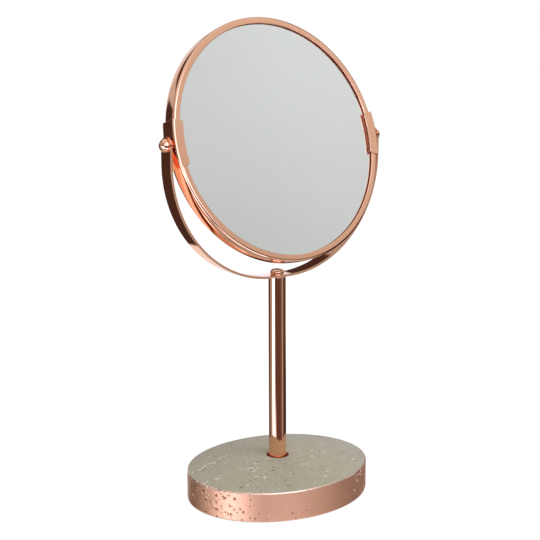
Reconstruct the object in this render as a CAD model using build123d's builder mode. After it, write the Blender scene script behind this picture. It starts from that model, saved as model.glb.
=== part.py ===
# Free-standing swivel table mirror. An oval cast slab carries a tube stem, the stem carries a bent strap
# yoke, and a two-sided round mirror turns between the two ends of the yoke.
# Millimetres. +Z is up, -Y is the side the flat glass faces, and X runs along the line of the two pivots.
# The origin is on the table, under the middle of the slab.
import os
from math import cos, degrees, radians, sin, sqrt

from build123d import *

# Overall layout
pivot_height = 262.6
mirror_tilt = 15.8

# Base slab
base_length = 142.0
base_width = 118.0
rim_height = 21.8
dome_rise = 6.0
rim_round = 1.0
foot_round = 0.8
pad_thickness = 2.0
pad_proud = 0.6
pad_inset = 5.0

# Stem and its fixing in the slab
stem_diameter = 13.0
stem_wall = 1.2
stem_edge_round = 0.3
socket_diameter = 16.4
socket_depth = 13.0
socket_edge_round = 0.7
ledge_thickness = 5.8
pocket_diameter = 28.0
collar_height = 5.0
plug_length = 12.0
clamp_thread = 6.0
clamp_head_height = 3.6
clamp_head_flats = 10.0
clamp_washer_diameter = 20.0
clamp_washer_thickness = 1.6
spring_washer_diameter = 10.8
spring_washer_thickness = 1.5
spring_washer_split = 1.2

# Yoke
strap_thickness = 1.8
strap_width = 11.6
strap_edge_round = 0.35
yoke_seat_half = 7.0
leg_length = 13.0
yoke_thread = 5.0
yoke_head_diameter = 10.2
yoke_head_wall = 2.3
yoke_head_crown = 1.1
yoke_head_round = 2.0
yoke_washer_diameter = 9.2
yoke_washer_thickness = 0.6

# Mirror frame
frame_radius = 89.0
frame_depth = 12.5
frame_sheet = 0.9
frame_edge_round = 1.6
lip_width = 5.0
lip_return = 1.85
lip_edge_round = 0.4
split_width = 0.6
split_cut_length = 15.0
split_angle = 6.0

# Glasses and what lies between them
glass_thickness = 1.8
glass_side_gap = 0.4
magnifier_depth = 3.85
card_thickness = 0.8
spacer_width = 4.5
spacer_side_gap = 3.2

# Clips that wrap the frame at the pivots
clip_sheet = 1.0
clip_length = 33.0
clip_lap = 1.8
clip_corner = 2.0
clip_edge_round = 1.5

# Pivots
pivot_head_radius = 4.9
pivot_head_height = 4.1
pivot_washer_diameter = 9.0
pivot_washer_thickness = 0.5
pivot_spacer_length = 1.4
pivot_spacer_diameter = 7.0
pivot_shoulder = 5.0
pivot_thread = 3.0
nut_length = 10.0
nut_thickness = 2.5
head_edge_round = 0.4

# Clearances
seat_gap = 0.05
running_gap = 0.08
clip_gap = 0.1
screw_gap = 0.3
nut_gap = 0.1
pad_gap = 0.2

# Heights and radii that follow from the sizes above
base_half_length = base_length / 2
pad_half_length = base_half_length - pad_inset
pad_half_width = base_width / 2 - pad_inset
dome_top = rim_height + dome_rise
dome_sphere = (base_half_length**2 + dome_rise**2) / (2 * dome_rise)
stem_foot = dome_top - socket_depth
pocket_top = stem_foot - ledge_thickness
stem_bore = stem_diameter - 2 * stem_wall
half_depth = frame_depth / 2
opening_radius = frame_radius - lip_width
frame_bore = frame_radius - frame_sheet
glass_radius = frame_bore - glass_side_gap
magnifier_radius = (glass_radius**2 + magnifier_depth**2) / (2 * magnifier_depth)
glass_face = half_depth - lip_return
glass_back = glass_face - glass_thickness
card_back = glass_back - card_thickness
spacer_radius = glass_radius - spacer_side_gap
clip_inner = frame_radius + clip_gap
clip_outer = clip_inner + clip_sheet
clip_half_depth = half_depth + clip_gap + clip_sheet
strap_inner = clip_outer + pivot_spacer_length
strap_outer = strap_inner + strap_thickness
bend_radius = strap_outer - yoke_seat_half
strap_foot = pivot_height - leg_length - bend_radius
strap_seat = strap_foot + strap_thickness
washer_outer = strap_outer + pivot_washer_thickness
nut_outer = sqrt(frame_bore**2 - (nut_length / 2) ** 2) - seat_gap
nut_inner = nut_outer - nut_thickness

# The mirror head is built leaning back about the pivot line
tilt = radians(mirror_tilt)
pivot_point = (0, 0, pivot_height)
front_normal = (0, -cos(tilt), sin(tilt))
head_face = Plane(origin=pivot_point, x_dir=(1, 0, 0), z_dir=front_normal)
head_section = Plane(origin=pivot_point, x_dir=(1, 0, 0), z_dir=(0, -sin(tilt), -cos(tilt)))
head_axis = Axis(pivot_point, front_normal)
pivot_section = Plane(origin=pivot_point, x_dir=(1, 0, 0), z_dir=(0, -1, 0))
pivot_axis = Axis(pivot_point, (1, 0, 0))

os.makedirs("parts", exist_ok=True)


def write(piece, name):
    """Label a finished piece and write it to its own file."""
    piece.part.label = name
    export_step(piece.part, f"parts/{name}.step")


def magnifier_sag(radius):
    """Depth of the curved glass at this radius, measured from its middle."""
    return magnifier_radius - sqrt(magnifier_radius**2 - radius**2)


def rear_glass_inside(radius):
    """Height of the curved glass's inner face above the middle plane of the frame."""
    return magnifier_depth - magnifier_sag(radius) - glass_back


# Base slab: a domed disc turned about Z and squeezed to an oval, then bored
with BuildPart() as base_slab:
    with BuildSketch(Plane.XZ):
        with BuildLine():
            dome_mid = base_half_length / 2
            dome_mid_height = dome_top - dome_sphere + sqrt(dome_sphere**2 - dome_mid**2)
            Polyline(
                (0, dome_top),
                (0, pad_proud),
                (base_half_length, pad_proud),
                (base_half_length, rim_height),
            )
            ThreePointArc((base_half_length, rim_height), (dome_mid, dome_mid_height), (0, dome_top))
        make_face()
        fillet(vertices().group_by(Axis.X)[-1].sort_by(Axis.Y)[-1], radius=rim_round)
        fillet(vertices().group_by(Axis.X)[-1].sort_by(Axis.Y)[0], radius=foot_round)
    revolve(axis=Axis.Z)
    scale(by=(1, base_width / base_length, 1))
    with BuildSketch(Plane.XY.offset(pad_proud)):
        Ellipse(pad_half_length, pad_half_width)
    extrude(amount=pad_thickness - pad_proud, mode=Mode.SUBTRACT)
    with BuildSketch(Plane.XY.offset(pad_proud)):
        Circle(pocket_diameter / 2)
    extrude(amount=pocket_top - pad_proud, mode=Mode.SUBTRACT)
    with BuildSketch(Plane.XY.offset(pocket_top)):
        Circle(clamp_thread / 2 + screw_gap)
    extrude(amount=ledge_thickness, mode=Mode.SUBTRACT)
    with BuildSketch(Plane.XY.offset(stem_foot)):
        Circle(socket_diameter / 2)
    extrude(amount=socket_depth + rim_round, mode=Mode.SUBTRACT)
    socket_mouth = edges().filter_by(GeomType.LINE, reverse=True).filter_by(
        lambda edge: edge.bounding_box().max.X < socket_diameter and edge.bounding_box().min.Z > rim_height
    )
    fillet(socket_mouth, radius=socket_edge_round)
write(base_slab, "base_slab")

# Pad let into the underside of the slab, standing slightly proud of it
with BuildPart() as base_pad:
    with BuildSketch(Plane.XY):
        Ellipse(pad_half_length - pad_gap, pad_half_width - pad_gap)
    extrude(amount=pad_thickness)
write(base_pad, "base_pad")

# Clamp under the slab: broad washer, split spring washer and hexagon screw
clamp_washer_foot = pocket_top - clamp_washer_thickness
spring_washer_foot = clamp_washer_foot - spring_washer_thickness

with BuildPart() as clamp_washer:
    with BuildSketch(Plane.XY.offset(clamp_washer_foot)):
        Circle(clamp_washer_diameter / 2)
        Circle(clamp_thread / 2 + screw_gap, mode=Mode.SUBTRACT)
    extrude(amount=clamp_washer_thickness)
write(clamp_washer, "clamp_washer")

with BuildPart() as clamp_spring_washer:
    with BuildSketch(Plane.XY.offset(spring_washer_foot)):
        Circle(spring_washer_diameter / 2)
        Circle(clamp_thread / 2 + screw_gap, mode=Mode.SUBTRACT)
        with Locations((spring_washer_diameter / 2, 0)):
            Rectangle(spring_washer_diameter, spring_washer_split, mode=Mode.SUBTRACT)
    extrude(amount=spring_washer_thickness)
write(clamp_spring_washer, "clamp_spring_washer")

with BuildPart() as clamp_screw:
    with BuildSketch(Plane.XY.offset(spring_washer_foot - clamp_head_height)):
        RegularPolygon(radius=clamp_head_flats / 2, side_count=6, major_radius=False)
    extrude(amount=clamp_head_height)
    with BuildSketch(Plane.XY.offset(spring_washer_foot)):
        Circle(clamp_thread / 2)
    extrude(amount=stem_foot + plug_length - screw_gap - spring_washer_foot)
write(clamp_screw, "clamp_screw")

# Plastic ring that centres the tube at the bottom of the socket
with BuildPart() as stem_collar:
    with BuildSketch(Plane.XY.offset(stem_foot)):
        Circle(socket_diameter / 2 - seat_gap)
        Circle(stem_diameter / 2 + seat_gap, mode=Mode.SUBTRACT)
    extrude(amount=collar_height)
write(stem_collar, "stem_collar")

# Tube stem, with its two threaded plugs
with BuildPart() as stem_tube:
    with BuildSketch(Plane.XY.offset(stem_foot)):
        Circle(stem_diameter / 2)
        Circle(stem_bore / 2, mode=Mode.SUBTRACT)
    extrude(amount=strap_foot - stem_foot)
    fillet(edges().group_by(Axis.Z)[-1].sort_by(SortBy.RADIUS)[-1], radius=stem_edge_round)
write(stem_tube, "stem_tube")

stem_plugs = (
    ("stem_foot_plug", stem_foot, clamp_thread),
    ("stem_head_plug", strap_foot - plug_length, yoke_thread),
)
for plug_name, plug_foot, plug_thread in stem_plugs:
    with BuildPart() as stem_plug:
        with BuildSketch(Plane.XY.offset(plug_foot)):
            Circle(stem_bore / 2 - seat_gap)
            Circle(plug_thread / 2 + seat_gap, mode=Mode.SUBTRACT)
        extrude(amount=plug_length)
    write(stem_plug, plug_name)

# Yoke strap: two legs, two quarter bends and a flat seat, bent from one strip with round ends
with BuildPart() as yoke_strap:
    strap_top = pivot_height + strap_width / 2
    bend_height = strap_foot + bend_radius
    inner_bend = bend_radius - strap_thickness
    with BuildSketch(Plane.XZ):
        with BuildLine():
            Polyline((0, strap_seat), (0, strap_foot), (yoke_seat_half, strap_foot))
            RadiusArc((yoke_seat_half, strap_foot), (strap_outer, bend_height), -bend_radius)
            Polyline(
                (strap_outer, bend_height),
                (strap_outer, strap_top),
                (strap_inner, strap_top),
                (strap_inner, bend_height),
            )
            RadiusArc((strap_inner, bend_height), (yoke_seat_half, strap_seat), inner_bend)
            Line((yoke_seat_half, strap_seat), (0, strap_seat))
        make_face()
        mirror(about=Plane.YZ)
    extrude(amount=strap_width / 2, both=True)
    end_corners = edges().filter_by(Axis.X).group_by(Axis.Z)[-1]
    fillet(end_corners, radius=strap_width / 2 - seat_gap)
    long_edges = edges().group_by(Axis.Y)[0] + edges().group_by(Axis.Y)[-1]
    fillet(long_edges, radius=strap_edge_round)
    with BuildSketch(Plane.YZ.offset(-strap_outer)):
        with Locations((0, pivot_height)):
            Circle(pivot_shoulder / 2 + running_gap)
    extrude(amount=2 * strap_outer, mode=Mode.SUBTRACT)
    with BuildSketch(Plane.XY.offset(strap_foot)):
        Circle(yoke_thread / 2 + screw_gap)
    extrude(amount=strap_thickness, mode=Mode.SUBTRACT)
write(yoke_strap, "yoke_strap")

# Domed screw and washer that hold the yoke down on the stem
yoke_head_seat = strap_seat + yoke_washer_thickness

with BuildPart() as yoke_washer:
    with BuildSketch(Plane.XY.offset(strap_seat)):
        Circle(yoke_washer_diameter / 2)
        Circle(yoke_thread / 2 + screw_gap, mode=Mode.SUBTRACT)
    extrude(amount=yoke_washer_thickness)
write(yoke_washer, "yoke_washer")

with BuildPart() as yoke_screw:
    yoke_head_radius = yoke_head_diameter / 2
    yoke_head_shoulder = yoke_head_seat + yoke_head_wall
    yoke_head_top = yoke_head_shoulder + yoke_head_crown
    crown_sphere = (yoke_head_radius**2 + yoke_head_crown**2) / (2 * yoke_head_crown)
    yoke_screw_end = strap_foot - plug_length + screw_gap
    with BuildSketch(Plane.XZ):
        with BuildLine():
            Polyline(
                (0, yoke_head_top),
                (0, yoke_screw_end),
                (yoke_thread / 2, yoke_screw_end),
                (yoke_thread / 2, yoke_head_seat),
                (yoke_head_radius, yoke_head_seat),
                (yoke_head_radius, yoke_head_shoulder),
            )
            RadiusArc((yoke_head_radius, yoke_head_shoulder), (0, yoke_head_top), -crown_sphere)
        make_face()
        fillet(vertices().group_by(Axis.X)[-1].sort_by(Axis.Y)[-1], radius=yoke_head_round)
        fillet(vertices().group_by(Axis.X)[-1].sort_by(Axis.Y)[0], radius=head_edge_round / 2)
    revolve(axis=Axis.Z)
write(yoke_screw, "yoke_screw")

# Frame hoop: a rolled channel whose turned-in lips hold the glasses, split once behind the left clip
with BuildPart() as frame_hoop:
    lip_inside = opening_radius + frame_sheet
    sheet_depth = half_depth - frame_sheet
    with BuildSketch(head_section):
        with BuildLine():
            Polyline(
                (opening_radius, half_depth),
                (frame_radius, half_depth),
                (frame_radius, -half_depth),
                (opening_radius, -half_depth),
                (opening_radius, -glass_face),
                (lip_inside, -glass_face),
                (lip_inside, -sheet_depth),
                (frame_bore, -sheet_depth),
                (frame_bore, sheet_depth),
                (lip_inside, sheet_depth),
                (lip_inside, glass_face),
                (opening_radius, glass_face),
                close=True,
            )
        make_face()
        fillet(vertices().group_by(Axis.X)[-1], radius=frame_edge_round)
        lip_corners = vertices().group_by(Axis.X)[0].sort_by(Axis.Y)
        fillet([lip_corners[0], lip_corners[-1]], radius=lip_edge_round)
    revolve(axis=head_axis)
    with BuildSketch(head_face):
        with PolarLocations(frame_radius, 1, start_angle=180 + split_angle):
            Rectangle(split_cut_length, split_width)
    extrude(amount=frame_depth, both=True, mode=Mode.SUBTRACT)
    with BuildSketch(Plane.YZ.offset(-frame_radius)):
        with Locations((0, pivot_height)):
            Circle(pivot_thread / 2 + screw_gap)
    extrude(amount=2 * frame_radius, mode=Mode.SUBTRACT)
write(frame_hoop, "frame_hoop")

# Flat glass in front
with BuildPart() as front_glass:
    with BuildSketch(head_face.offset(glass_back)):
        Circle(glass_radius)
    extrude(amount=glass_thickness)
write(front_glass, "front_glass")

# Curved magnifying glass behind, hollow towards the viewer
with BuildPart() as rear_glass:
    with BuildSketch(head_section):
        with BuildLine():
            Polyline((0, magnifier_depth - glass_back), (0, magnifier_depth - glass_face))
            RadiusArc((0, magnifier_depth - glass_face), (glass_radius, -glass_face), magnifier_radius)
            Line((glass_radius, -glass_face), (glass_radius, -glass_back))
            RadiusArc((glass_radius, -glass_back), (0, magnifier_depth - glass_back), -magnifier_radius)
        make_face()
    revolve(axis=head_axis)
write(rear_glass, "rear_glass")

# Card behind the flat glass
with BuildPart() as backing_card:
    with BuildSketch(head_face.offset(card_back)):
        Circle(spacer_radius)
    extrude(amount=card_thickness)
write(backing_card, "backing_card")

# Ring between the card and the curved glass
with BuildPart() as glass_spacer:
    spacer_bore = spacer_radius - spacer_width
    with BuildSketch(head_section):
        with BuildLine():
            Polyline(
                (spacer_bore, card_back),
                (spacer_radius, card_back),
                (spacer_radius, rear_glass_inside(spacer_radius) + seat_gap),
                (spacer_bore, rear_glass_inside(spacer_bore) + seat_gap),
                close=True,
            )
        make_face()
    revolve(axis=head_axis)
write(glass_spacer, "glass_spacer")

# The two pivots, each with its clip, nut, sleeve, washer and ball-headed screw
clip_half_angle = degrees(clip_length / 2 / frame_radius)
pivot_sides = (("left", -1), ("right", 1))
for side, sign in pivot_sides:
    clip_start = radians(90 - 90 * sign - clip_half_angle)
    clip_radial = (cos(clip_start), sin(clip_start) * sin(tilt), sin(clip_start) * cos(tilt))
    clip_tangent = Vector(clip_radial).cross(Vector(front_normal))
    clip_section = Plane(origin=pivot_point, x_dir=clip_radial, z_dir=clip_tangent)

    with BuildPart() as clip:
        clip_bore = opening_radius - clip_lap
        clip_rest = half_depth + clip_gap
        with BuildSketch(clip_section):
            with BuildLine():
                Polyline(
                    (clip_bore, clip_rest),
                    (clip_bore, clip_half_depth),
                    (clip_outer, clip_half_depth),
                    (clip_outer, -clip_half_depth),
                    (clip_bore, -clip_half_depth),
                    (clip_bore, -clip_rest),
                    (clip_inner, -clip_rest),
                    (clip_inner, clip_rest),
                    close=True,
                )
            make_face()
            fillet(vertices().group_by(Axis.X)[-1], radius=clip_edge_round)
        revolve(axis=head_axis, revolution_arc=2 * clip_half_angle)
        lip_ends = edges().filter_by(head_axis).group_by(SortBy.LENGTH)[0]
        fillet(lip_ends, radius=clip_corner)
        with BuildSketch(Plane.YZ.offset(sign * opening_radius)):
            with Locations((0, pivot_height)):
                Circle(pivot_thread / 2 + screw_gap)
        extrude(amount=sign * (clip_outer - opening_radius), mode=Mode.SUBTRACT)
    write(clip, f"{side}_clip")

    with BuildPart() as pivot_nut:
        nut_half_depth = -rear_glass_inside(nut_inner) - nut_gap
        with BuildSketch(head_face.offset(-nut_half_depth)):
            with Locations((sign * (nut_outer + nut_inner) / 2, 0)):
                Rectangle(nut_thickness, nut_length)
        extrude(amount=2 * nut_half_depth)
        with BuildSketch(Plane.YZ.offset(sign * nut_inner)):
            with Locations((0, pivot_height)):
                Circle(pivot_thread / 2 + seat_gap)
        extrude(amount=sign * nut_thickness, mode=Mode.SUBTRACT)
    write(pivot_nut, f"{side}_pivot_nut")

    with BuildPart() as pivot_spacer:
        with BuildSketch(Plane.YZ.offset(sign * (clip_outer + seat_gap))):
            with Locations((0, pivot_height)):
                Circle(pivot_spacer_diameter / 2)
                Circle(pivot_shoulder / 2 + seat_gap, mode=Mode.SUBTRACT)
        extrude(amount=sign * (pivot_spacer_length - 2 * seat_gap))
    write(pivot_spacer, f"{side}_pivot_spacer")

    with BuildPart() as pivot_washer:
        with BuildSketch(Plane.YZ.offset(sign * (strap_outer + seat_gap))):
            with Locations((0, pivot_height)):
                Circle(pivot_washer_diameter / 2)
                Circle(pivot_shoulder / 2 + seat_gap, mode=Mode.SUBTRACT)
        extrude(amount=sign * (pivot_washer_thickness - seat_gap))
    write(pivot_washer, f"{side}_pivot_washer")

    with BuildPart() as pivot_screw:
        head_sphere_centre = washer_outer + pivot_head_height - pivot_head_radius
        head_rim = sqrt(pivot_head_radius**2 - (washer_outer - head_sphere_centre) ** 2)
        shoulder_start = clip_outer + seat_gap
        with BuildSketch(pivot_section):
            with BuildLine():
                Polyline(
                    (sign * (washer_outer + pivot_head_height), 0),
                    (sign * nut_inner, 0),
                    (sign * nut_inner, pivot_thread / 2),
                    (sign * shoulder_start, pivot_thread / 2),
                    (sign * shoulder_start, pivot_shoulder / 2),
                    (sign * washer_outer, pivot_shoulder / 2),
                    (sign * washer_outer, head_rim),
                )
                RadiusArc(
                    (sign * washer_outer, head_rim),
                    (sign * (washer_outer + pivot_head_height), 0),
                    sign * pivot_head_radius,
                )
            make_face()
            fillet(vertices().sort_by(Axis.Y)[-1], radius=head_edge_round)
        revolve(axis=pivot_axis)
    write(pivot_screw, f"{side}_pivot_screw")
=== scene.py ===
# %% [markdown]
# # A swivel table mirror in polished copper and cast concrete
# The solids of this mirror come from a CAD program and are already the right size. This lesson dresses
# them: it sets the camera, models the polished pieces again with rounder edges than a CAD mesh has, mixes
# one finish for each real material and hangs a small studio of soft boxes round the object. +Z is up, the
# flat glass faces -Y and the two pivots lie along X. Blender counts in metres, and the sizes below are
# written in millimetres.

from functools import reduce
from math import acos, cos, pi, radians, sin, sqrt

import bmesh
import bpy
from mathutils import Matrix, Vector


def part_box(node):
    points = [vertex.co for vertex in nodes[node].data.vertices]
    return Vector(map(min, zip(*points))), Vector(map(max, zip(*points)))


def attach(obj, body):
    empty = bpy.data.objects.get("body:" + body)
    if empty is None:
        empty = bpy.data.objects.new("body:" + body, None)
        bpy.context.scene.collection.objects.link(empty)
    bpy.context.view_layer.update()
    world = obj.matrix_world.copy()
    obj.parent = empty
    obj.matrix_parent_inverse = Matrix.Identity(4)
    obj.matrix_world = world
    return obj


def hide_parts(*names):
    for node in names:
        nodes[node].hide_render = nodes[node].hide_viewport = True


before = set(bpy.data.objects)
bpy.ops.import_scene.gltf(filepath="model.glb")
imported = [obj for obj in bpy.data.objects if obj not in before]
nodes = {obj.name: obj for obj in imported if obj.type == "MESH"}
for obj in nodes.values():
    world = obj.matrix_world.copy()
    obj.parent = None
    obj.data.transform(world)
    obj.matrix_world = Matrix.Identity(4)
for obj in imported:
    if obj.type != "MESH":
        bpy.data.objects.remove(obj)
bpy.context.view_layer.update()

# %% [markdown]
# ## The camera
# A product photograph like this one is taken from about eye height of the object with a longish lens,
# here 74 mm from 0.8 m away, turned to the left of the glass. Aiming a camera with a Track To constraint
# would be quick, but it allows no roll. So the three directions of the camera are worked out from its
# azimuth and elevation and written into its matrix. The small lens shift slides the picture in its frame
# without turning the camera, as a shift lens does.

# %% Set the camera
camera_azimuth = radians(-36.7)
camera_elevation = radians(9.12)
camera_roll = radians(-0.26)
camera_distance = 0.80334
aim_aside = -0.00947
aim_height = 0.1867

backwards = Vector((
    sin(camera_azimuth) * cos(camera_elevation),
    -cos(camera_azimuth) * cos(camera_elevation),
    sin(camera_elevation),
))
aim = Vector((aim_aside * cos(camera_azimuth), aim_aside * sin(camera_azimuth), aim_height))
level_right = Vector((0, 0, 1)).cross(backwards).normalized()
level_up = backwards.cross(level_right)
rolled_right = level_right * cos(camera_roll) + level_up * sin(camera_roll)
rolled_up = level_up * cos(camera_roll) - level_right * sin(camera_roll)

bpy.ops.object.select_all(action="DESELECT")
bpy.ops.object.camera_add()
camera = bpy.context.object
camera.name = "photo_camera"
camera.matrix_world = (
    Matrix.Translation(aim + backwards * camera_distance)
    @ Matrix((rolled_right, rolled_up, backwards)).transposed().to_4x4()
)
camera.data.sensor_width = 36.0
camera.data.lens = 73.694
camera.data.shift_x = 0.01117
camera.data.shift_y = -0.0473
bpy.context.scene.camera = camera
bpy.context.scene.view_settings.view_transform = "Standard"
print("camera at", [round(value, 4) for value in camera.matrix_world.translation])

# %% [markdown]
# ## Turning a profile
# Nearly every polished piece is round or bent from sheet. A CAD mesh of it is made of long thin
# triangles, and polished metal shows each of them as a jagged glint along the rounded edges. So these
# pieces are modelled again as even grids. Blender's lathe is the Spin operator: a chain of points is
# drawn by extruding one point again and again, its corners are bevelled, and the chain is swept round an
# axis. A Screw modifier does nearly the same, but Spin takes any axis and any centre, which the tilted
# mirror needs.

# %% Drawing a chain of points
mm = 0.001
same_place = 0.001 * mm


def begin_chain(name, place):
    """A new object of one point, left in edit mode with that point selected."""
    bpy.ops.object.select_all(action="DESELECT")
    bpy.ops.mesh.primitive_plane_add(size=mm, location=place)
    piece = bpy.context.object
    piece.name = name
    bpy.ops.object.transform_apply(location=True, rotation=False, scale=False)
    bpy.ops.object.mode_set(mode="EDIT")
    bpy.ops.mesh.select_all(action="SELECT")
    bpy.ops.mesh.merge(type="CENTER")
    return piece


def draw_chain(places):
    """Extrudes the selected point from each place to the next."""
    for start, end in zip(places, places[1:]):
        bpy.ops.mesh.extrude_vertices_move(TRANSFORM_OT_translate={"value": end - start})


def pick_points(piece, *corners):
    """Selects in edit mode the points at these corners, and nothing else."""
    bpy.ops.mesh.select_all(action="DESELECT")
    edited = bmesh.from_edit_mesh(piece.data)
    for point in edited.verts:
        point.select_set(min((point.co - corner).length for corner in corners) < same_place)
    edited.select_flush_mode()
    bmesh.update_edit_mesh(piece.data)


print("one millimetre is", mm, "m")

# %% [markdown]
# The lathe rounds each corner by its own radius before it spins. A profile that starts and ends on the
# axis gives a closed solid, a closed chain gives a ring, and any other chain gives a sheet that still
# needs its thickness. Spin turns the other way round than a rotation about the same axis, so it gets the
# axis reversed. After it the points that meet on the axis or at the end of the turn are merged, and then
# the faces are turned outwards.

# %% The lathe
rounding_segments = 8


def lathe(name, profile, centre, axis, outward, turn=2 * pi, steps=96, closed=False):
    """Turns corners of (radius, place along the axis, rounding), in millimetres, about an axis."""
    places = []
    for radius, height, _ in profile:
        places.append(centre + (outward * radius + axis * height) * mm)
    piece = begin_chain(name, places[0])
    draw_chain(places)
    if closed:
        pick_points(piece, places[0], places[-1])
        bpy.ops.mesh.edge_face_add()
    for corner, (_, _, rounding) in zip(places, profile):
        if rounding:
            pick_points(piece, corner)
            bpy.ops.mesh.bevel(offset=rounding * mm, segments=rounding_segments, affect="VERTICES")
    bpy.ops.mesh.select_all(action="SELECT")
    bpy.ops.mesh.spin(steps=steps, angle=turn, center=centre, axis=-axis)
    bpy.ops.mesh.select_all(action="SELECT")
    bpy.ops.mesh.remove_doubles(threshold=same_place)
    bpy.ops.mesh.normals_make_consistent(inside=False)
    bpy.ops.object.mode_set(mode="OBJECT")
    return piece


def ring_section(bore, radius, low, high, rounding):
    """The corners of a flat ring, for the lathe."""
    return (bore, low, 0), (radius, low, rounding), (radius, high, rounding), (bore, high, 0)


print("lathe is ready")

# %% [markdown]
# ## Finishing a piece
# Sheet pieces get their thickness inwards from a Solidify modifier, screw holes from a Boolean modifier
# and broken edges from a Bevel modifier. Weighted normals come last. They keep flat faces flat up to
# their bevels, so that the reflection bends only where the metal does.

# %% Helpers that finish a piece
drill_length = 8.0
drill_facets = 64
sharp_edge = radians(50)
smooth_edge = radians(38)
made = {}


def choose(piece):
    """Makes a piece the active one and the only one selected."""
    bpy.ops.object.select_all(action="DESELECT")
    piece.select_set(True)
    bpy.context.view_layer.objects.active = piece


def apply_modifier(piece, kind, **settings):
    """Adds a modifier to a piece and applies it at once."""
    choose(piece)
    modifier = piece.modifiers.new(kind.lower(), kind)
    for name, value in settings.items():
        setattr(modifier, name, value)
    bpy.ops.object.modifier_apply(modifier=modifier.name)


def thicken(piece, thickness):
    """Gives a sheet its thickness, inwards."""
    apply_modifier(piece, "SOLIDIFY", thickness=thickness * mm, offset=-1.0)


def break_edges(piece, width):
    """Rounds the sharp edges of a piece a little."""
    apply_modifier(piece, "BEVEL", width=width * mm, segments=3, limit_method="ANGLE", angle_limit=sharp_edge)


def drill(piece, place, axis, diameter):
    """Cuts a round hole through a piece."""
    bpy.ops.object.select_all(action="DESELECT")
    turned = axis.to_track_quat("Z", "Y").to_euler()
    bpy.ops.mesh.primitive_cylinder_add(vertices=drill_facets, radius=diameter / 2 * mm,
                                        depth=drill_length * mm, location=place, rotation=turned)
    bit = bpy.context.object
    apply_modifier(piece, "BOOLEAN", object=bit, operation="DIFFERENCE", solver="EXACT")
    bpy.data.objects.remove(bit)


def fit(piece, node, body):
    """Puts a finished piece in the place of a CAD node: smooth shading and its body."""
    choose(piece)
    bpy.ops.object.shade_smooth_by_angle(angle=smooth_edge)
    apply_modifier(piece, "WEIGHTED_NORMAL", keep_sharp=True)
    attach(piece, body)
    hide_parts(node)
    made[node] = piece
    print(piece.name, "has", len(piece.data.polygons), "faces")


print("helpers that finish a piece are ready")

# %% [markdown]
# ## The hoop
# The round frame is rolled from a strip of sheet metal. Its cross-section is a channel: an outer wall, a
# flat lip in front and behind, and under the edge of each lip a return that presses on the glass. The
# return stands back a little, which leaves a dark groove between lip and glass. Rolling leaves the wall
# slightly crowned, and that bends the reflections on it. The strip is open at one place, behind the left
# clip, where its two ends meet. A torus would have the wrong section, so the section is drawn as a chain
# and spun once round the mirror's own axis, short of a full turn by the width of the joint.

# %% Roll the hoop
pivot_height = 262.6
pivot = Vector((0, 0, pivot_height)) * mm
mirror_tilt = radians(15.8)
front = Vector((0, -cos(mirror_tilt), sin(mirror_tilt)))
head_up = Vector((0, sin(mirror_tilt), cos(mirror_tilt)))
sideways = Vector((1, 0, 0))

frame_radius = 89.0
half_depth = 6.25
opening_radius = 84.0
glass_face = 4.4
joint_angle = 6.0
joint_width = 0.6
wall_crown = 0.25
wall_rows = 3
wall_step = 1.2
lip_sheet = 0.9
groove = 0.9
hoop_sheet = 0.6
screw_hole = 3.6


def around(degrees):
    """The direction from the middle of the mirror to a place on its rim, 0 at the right and 90 at the top."""
    return sideways * cos(radians(degrees)) + head_up * sin(radians(degrees))


half_profile = [
    (opening_radius + groove, glass_face, 0),
    (opening_radius + groove, half_depth - lip_sheet, 0),
    (opening_radius, half_depth - lip_sheet, 0.15),
    (opening_radius, half_depth, 0.4),
    (frame_radius - wall_crown, half_depth, 1.6),
]
hoop_profile = list(half_profile)
for row in range(-wall_rows, wall_rows + 1):
    depth = -wall_step * row
    hoop_profile.append((frame_radius - wall_crown * (depth / half_depth) ** 2, depth, 0))
for radius, depth, rounding in reversed(half_profile):
    hoop_profile.append((radius, -depth, rounding))
joint_turn = joint_width / frame_radius
joint_start = around(180 + joint_angle + joint_turn / 2 * 180 / pi)
hoop = lathe("rolled_hoop", hoop_profile, pivot, front, joint_start, turn=2 * pi - joint_turn, steps=288)
thicken(hoop, hoop_sheet)
for sign in (-1, 1):
    drill(hoop, pivot + sideways * sign * frame_radius * mm, sideways, screw_hole)
fit(hoop, "frame_hoop", "mirror_head")

# %% [markdown]
# ## The two clips
# A clip is a short piece of wider channel, pressed over the hoop at each pivot. Its lips reach over the
# glass and have rounded corners. The lathe gives the channel with square corners. To round them, each
# point on the edge of a lip that is close to an end of the clip moves outwards onto a quarter circle, as
# if the corner were filed.

# %% Press the clips
clip_bore = 82.2
clip_outer = 90.1
clip_half_depth = 7.35
clip_corner = 2.0
clip_sheet = 1.0
clip_length = 33.0
clip_half_turn = clip_length / 2 / frame_radius
lip_edge = clip_bore + 0.1

clip_profile = (
    (clip_bore, clip_half_depth, 0),
    (clip_outer, clip_half_depth, 1.5),
    (clip_outer, -clip_half_depth, 1.5),
    (clip_bore, -clip_half_depth, 0),
)


def file_corners(clip, middle):
    """Rounds the four free corners of a clip's lips."""
    for point in clip.data.vertices:
        spoke = point.co - pivot
        spoke -= front * spoke.dot(front)
        if spoke.length > lip_edge * mm:
            continue
        from_end = (clip_half_turn - spoke.angle(middle)) * clip_bore
        if from_end < clip_corner:
            left_over = clip_corner - sqrt(max(clip_corner**2 - (clip_corner - from_end) ** 2, 0))
            point.co += spoke.normalized() * left_over * mm


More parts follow.
